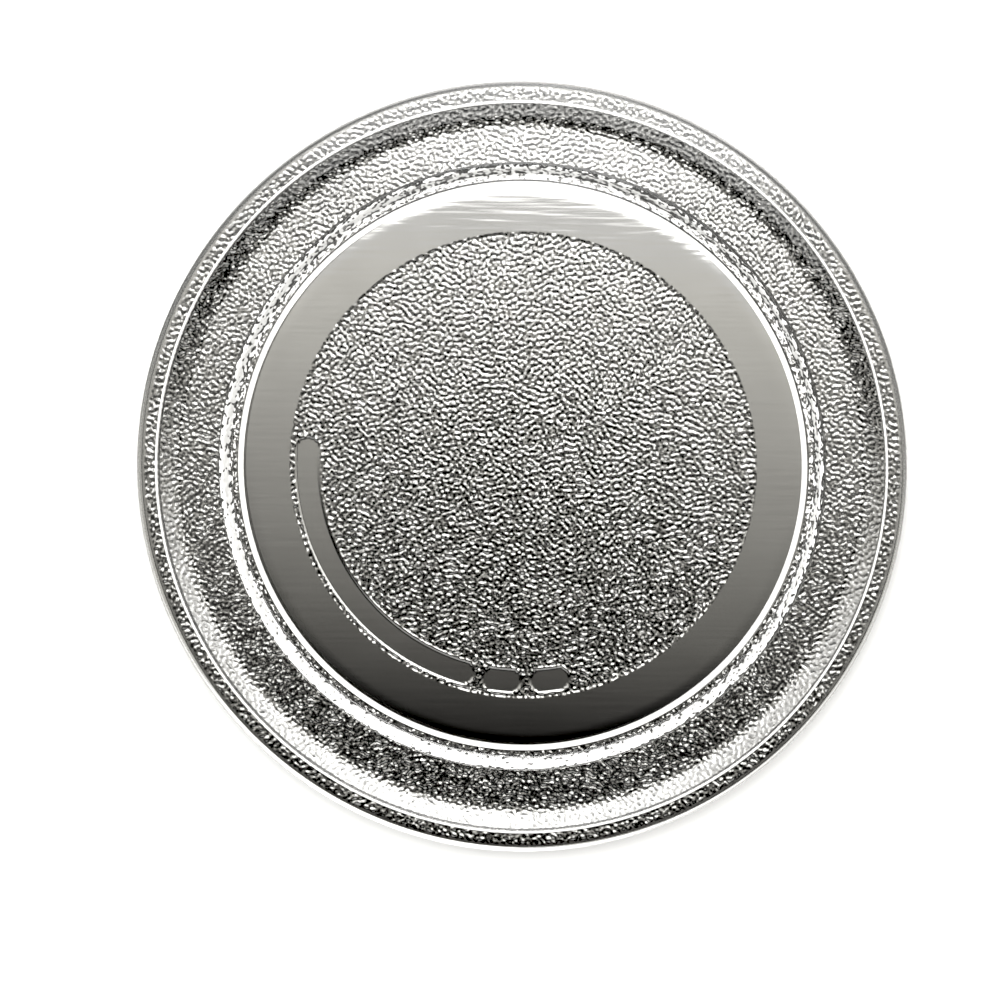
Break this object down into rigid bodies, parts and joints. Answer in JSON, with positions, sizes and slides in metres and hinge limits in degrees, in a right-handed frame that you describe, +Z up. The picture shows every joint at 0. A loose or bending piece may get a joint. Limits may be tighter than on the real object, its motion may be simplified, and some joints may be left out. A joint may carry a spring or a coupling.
{
  "type": "microwave turntable plate",
  "caption": "Round pressed-glass oven turntable plate: flat well, raised flange and upturned rim, smooth on top, pebbled underneath with a smooth roller track.",
  "frame": {"origin": "centre of the underside, in the plane of the pebble crests that the plate rests on", "axes": "+Z up out of the dish along the plate's axis of turning; the smooth pads of the underside lie towards -X and -Y"},
  "size_m": [0.245, 0.245, 0.0126],
  "materials": {
    "glass": "clear pressed glass, smooth upper face, pebbled underside with a smooth roller track and smooth pads"
  },
  "bodies": {
    "root": {"turntable_plate": "glass"}
  },
  "joints": []
}
